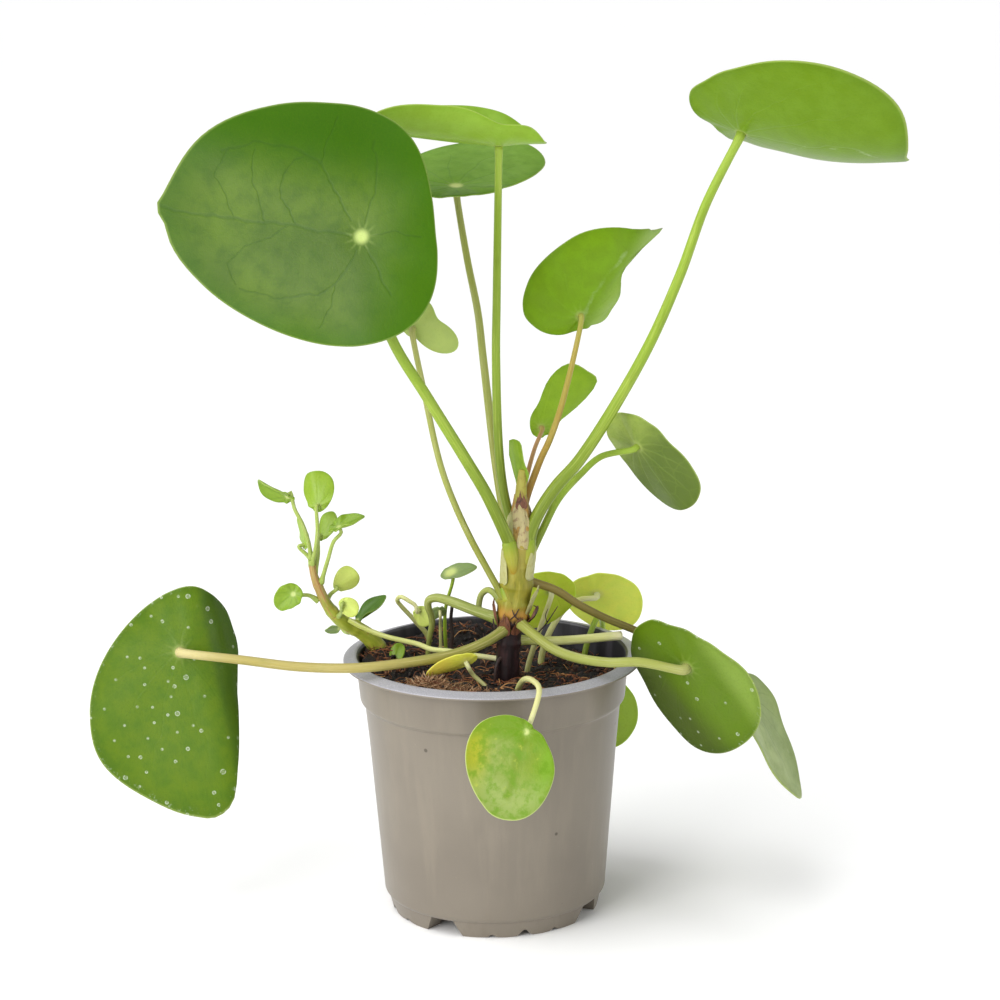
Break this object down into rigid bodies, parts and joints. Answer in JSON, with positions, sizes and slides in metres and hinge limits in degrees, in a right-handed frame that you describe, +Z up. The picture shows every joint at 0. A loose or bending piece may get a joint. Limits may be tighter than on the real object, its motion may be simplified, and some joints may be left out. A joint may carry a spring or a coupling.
{
  "type": "potted pilea plant",
  "caption": "Pilea with round leaves on long thin stalks and a young offshoot, growing in peat in a tapered round plastic nursery pot with notched feet.",
  "frame": {"origin": "middle of the pot's foot circle, on the surface that the pot stands on", "axes": "+Z up; the pictured front faces -Y; +X is the picture's right"},
  "size_m": [0.3262, 0.1521, 0.3413],
  "materials": {
    "pot_plastic": "satin taupe thermoformed plastic",
    "soil": "rough dark peat with coir fibres",
    "stem": "satin, yellow-green above, purple-brown below",
    "offshoot_stem": "satin olive green",
    "dry_wood": "rough dark",
    "red_stalk": "satin orange-brown",
    "brown_stalk": "satin olive brown",
    "pale_stalk": "satin pale yellow-green",
    "green_stalk": "satin green",
    "yellow_leaf": "satin yellow",
    "pale_leaf": "satin yellow-green",
    "young_leaf": "satin fresh green",
    "mature_leaf": "satin deep green"
  },
  "bodies": {
    "root": {"pot": "pot_plastic", "main_stem": "stem", "big_left_blade": "mature_leaf", "big_left_stalk": "green_stalk", "top_bowl_blade": "mature_leaf", "top_bowl_stalk": "green_stalk", "top_flat_blade": "mature_leaf", "top_flat_stalk": "green_stalk", "upper_right_blade": "mature_leaf", "upper_right_stalk": "green_stalk", "folded_tip_blade": "mature_leaf", "folded_tip_stalk": "red_stalk", "curled_blade": "mature_leaf", "curled_stalk": "red_stalk", "right_middle_blade": "mature_leaf", "right_middle_stalk": "green_stalk", "behind_left_blade": "pale_leaf", "behind_left_stalk": "green_stalk", "low_left_blade": "mature_leaf", "low_left_stalk": "pale_stalk", "low_right_blade": "mature_leaf", "low_right_stalk": "green_stalk", "far_right_blade": "mature_leaf", "far_right_stalk": "brown_stalk", "yellow_back_blade": "pale_leaf", "yellow_back_stalk": "pale_stalk", "back_bright_blade": "young_leaf", "back_bright_stalk": "green_stalk", "front_blade": "pale_leaf", "front_stalk": "pale_stalk", "behind_pot_blade": "mature_leaf", "behind_pot_stalk": "green_stalk", "in_pot_yellow_blade": "yellow_leaf", "in_pot_yellow_stalk": "pale_stalk", "thin_left_blade": "mature_leaf", "thin_left_stalk": "green_stalk", "offshoot_leaf_1": "young_leaf", "offshoot_leaf_2": "young_leaf", "offshoot_leaf_3": "young_leaf", "offshoot_leaf_4": "young_leaf", "offshoot_leaf_5": "young_leaf", "offshoot_leaf_6": "young_leaf", "offshoot_leaf_7": "young_leaf", "offshoot_leaf_8": "young_leaf", "offshoot_leaf_9": "young_leaf", "offshoot_leaf_10": "young_leaf", "offshoot_stem": "offshoot_stem", "cut_stub": "pale_stalk", "bent_stalk": "pale_stalk", "arched_stalk": "pale_stalk", "dry_twig": "dry_wood", "runner": "pale_stalk", "looped_leaf": "pale_leaf", "looped_stalk": "pale_stalk", "pale_leaf": "pale_leaf", "pale_stalk": "pale_stalk", "apex_leaf": "young_leaf", "sprout": "young_leaf", "soil": "soil"}
  },
  "joints": []
}
